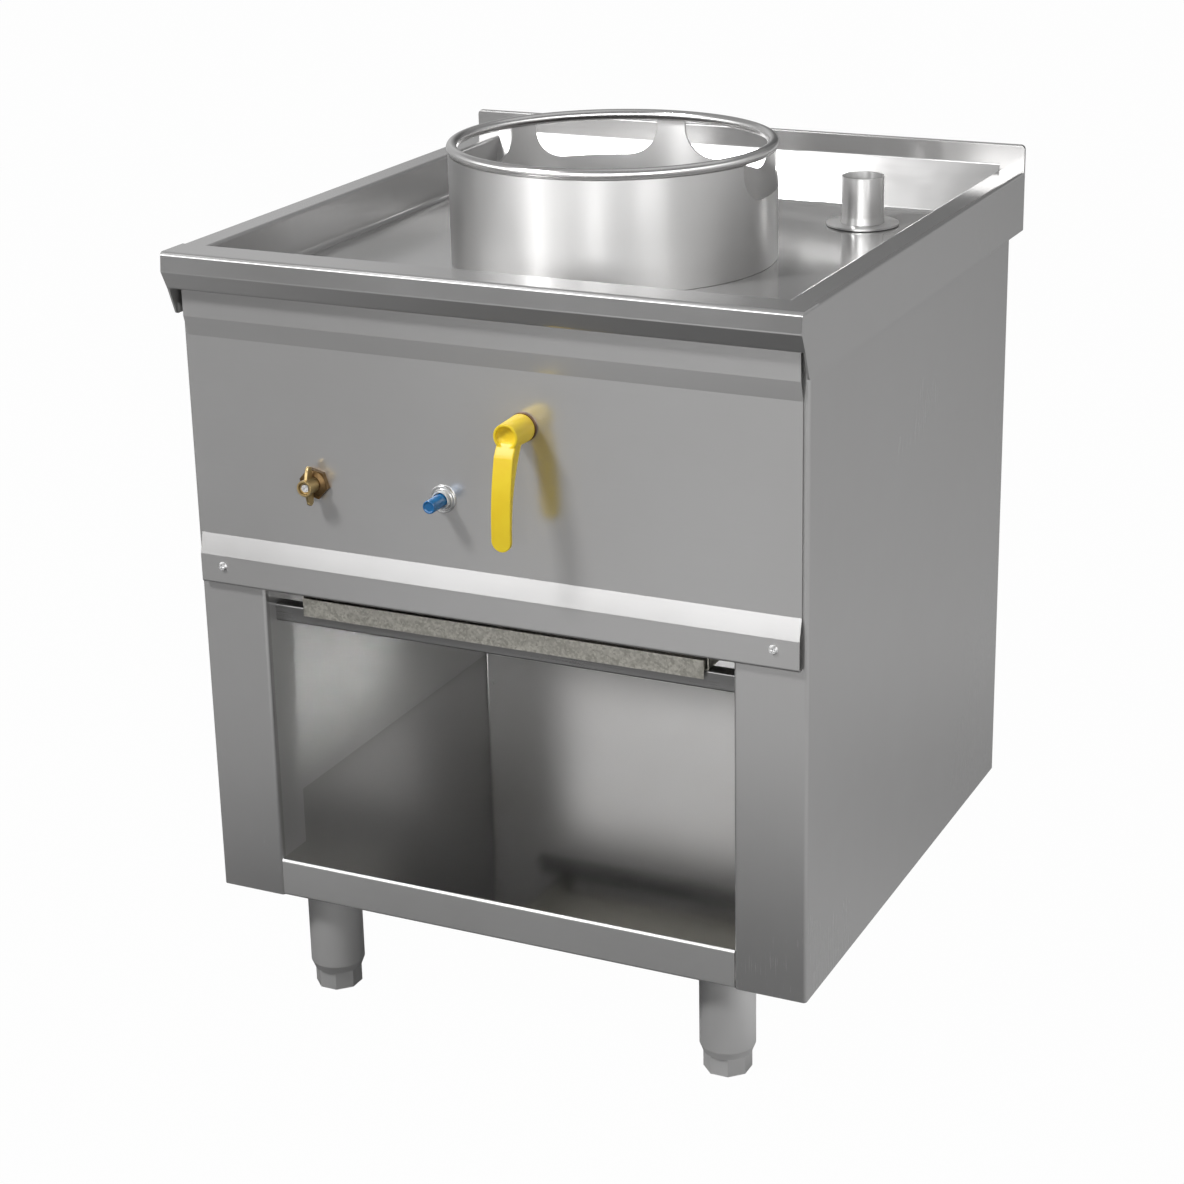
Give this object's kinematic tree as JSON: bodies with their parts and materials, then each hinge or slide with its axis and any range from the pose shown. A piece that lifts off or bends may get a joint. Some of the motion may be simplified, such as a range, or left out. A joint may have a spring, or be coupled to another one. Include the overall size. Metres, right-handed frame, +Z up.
{
  "type": "gas wok range",
  "caption": "Free-standing stainless gas wok range with a sunken basin, loose wok ring over the burner, overflow drain, lever valve, pilot tap, igniter, drip tray and open shelf.",
  "frame": {"origin": "on the ground, under the middle of the whole outline", "axes": "+Z up, -Y the front with the controls, +X to the right of someone facing the front"},
  "size_m": [0.7, 0.73, 0.929],
  "materials": {
    "stainless_sheet": "satin brushed stainless sheet",
    "galvanised_sheet": "spangled zinc",
    "polished_steel": "polished stainless",
    "fastener_steel": "plated",
    "burner_steel": "heat-darkened",
    "cast_iron": "bare casting",
    "brass": "machined",
    "copper": "drawn copper tube",
    "pipe_steel": "galvanised tube",
    "grey_plastic": "moulded",
    "yellow_plastic": "satin coating",
    "dark_bush": "aged",
    "white_plastic": "moulded",
    "grey_ring": "plated",
    "blue_plastic": "moulded",
    "black_rubber": "matt",
    "white_ceramic": "glazed ceramic",
    "leg_steel": "satin"
  },
  "bodies": {
    "cabinet": {"left_side_panel": "stainless_sheet", "right_side_panel": "stainless_sheet", "back_panel": "stainless_sheet", "bottom_shelf": "stainless_sheet", "control_panel": "stainless_sheet", "worktop": "stainless_sheet", "front_cross_rail": "stainless_sheet", "rear_cross_rail": "stainless_sheet", "left_tray_runner": "galvanised_sheet", "right_tray_runner": "galvanised_sheet", "drain_flange": "polished_steel", "back_panel_screws": "fastener_steel", "panel_screws": "fastener_steel", "leg_nuts": "fastener_steel", "igniter_spring": "fastener_steel", "igniter_nut": "fastener_steel", "burner_collar": "burner_steel", "burner_chamber": "burner_steel", "burner_bracket": "burner_steel", "burner_body": "cast_iron", "burner_cap": "cast_iron", "gas_valve_body": "brass", "burner_injector": "brass", "gas_inlet": "brass", "pilot_tap_body": "brass", "pilot_tap_bonnet": "brass", "pilot_burner": "brass", "drain_locknut": "brass", "burner_supply_pipe": "copper", "pilot_feed_pipe": "copper", "pilot_pipe": "copper", "main_gas_pipe": "pipe_steel", "drain_tailpipe": "grey_plastic", "lever_bush": "dark_bush", "igniter_body": "white_plastic", "igniter_bezel": "grey_ring", "igniter_lead": "black_rubber", "drain_gasket": "black_rubber", "igniter_electrode": "white_ceramic", "leg_front_left": "leg_steel", "leg_front_right": "leg_steel", "leg_back_left": "leg_steel", "leg_back_right": "leg_steel"},
    "gas_lever": {"gas_lever": "yellow_plastic", "gas_valve_stem": "brass"},
    "pilot_tap": {"pilot_wing": "brass", "pilot_wing_screw": "fastener_steel", "pilot_tap_spindle": "brass"},
    "igniter_button": {"igniter_button": "blue_plastic"},
    "drip_tray": {"drip_tray": "galvanised_sheet"},
    "wok_ring": {"wok_ring_skirt": "polished_steel", "wok_ring_bar": "polished_steel"},
    "overflow_pipe": {"overflow_pipe": "polished_steel"},
    "foot_front_left": {"foot_front_left": "leg_steel"},
    "foot_front_right": {"foot_front_right": "leg_steel"},
    "foot_back_left": {"foot_back_left": "leg_steel"},
    "foot_back_right": {"foot_back_right": "leg_steel"}
  },
  "joints": [
    {"name": "gas_lever_turn", "type": "hinge", "parent": "cabinet", "child": "gas_lever", "pos_m": [0.047, -0.335, 0.701], "axis": [0, -1, 0], "range_deg": [0, 90]},
    {"name": "pilot_tap_turn", "type": "hinge", "parent": "cabinet", "child": "pilot_tap", "pos_m": [-0.196, -0.335, 0.614], "axis": [0, -1, 0], "range_deg": [0, 90]},
    {"name": "igniter_push", "type": "slide", "parent": "cabinet", "child": "igniter_button", "axis": [0, 1, 0], "range_m": [0, 0.006], "stiffness_N_per_m": 500, "springref_m": -0.002, "deforming": ["igniter_spring"]},
    {"name": "drip_tray_slide", "type": "slide", "parent": "cabinet", "child": "drip_tray", "axis": [0, -1, 0], "range_m": [0, 0.45]},
    {"name": "wok_ring_lift", "type": "slide", "parent": "cabinet", "child": "wok_ring", "axis": [0, 0, 1], "range_m": [0, 0.15]},
    {"name": "overflow_pipe_lift", "type": "slide", "parent": "cabinet", "child": "overflow_pipe", "axis": [0, 0, 1], "range_m": [0, 0.08]},
    {"name": "foot_front_left_level", "type": "slide", "parent": "cabinet", "child": "foot_front_left", "axis": [0, 0, -1], "range_m": [0, 0.025]},
    {"name": "foot_front_right_level", "type": "slide", "parent": "cabinet", "child": "foot_front_right", "axis": [0, 0, -1], "range_m": [0, 0.025]},
    {"name": "foot_back_left_level", "type": "slide", "parent": "cabinet", "child": "foot_back_left", "axis": [0, 0, -1], "range_m": [0, 0.025]},
    {"name": "foot_back_right_level", "type": "slide", "parent": "cabinet", "child": "foot_back_right", "axis": [0, 0, -1], "range_m": [0, 0.025]}
  ]
}
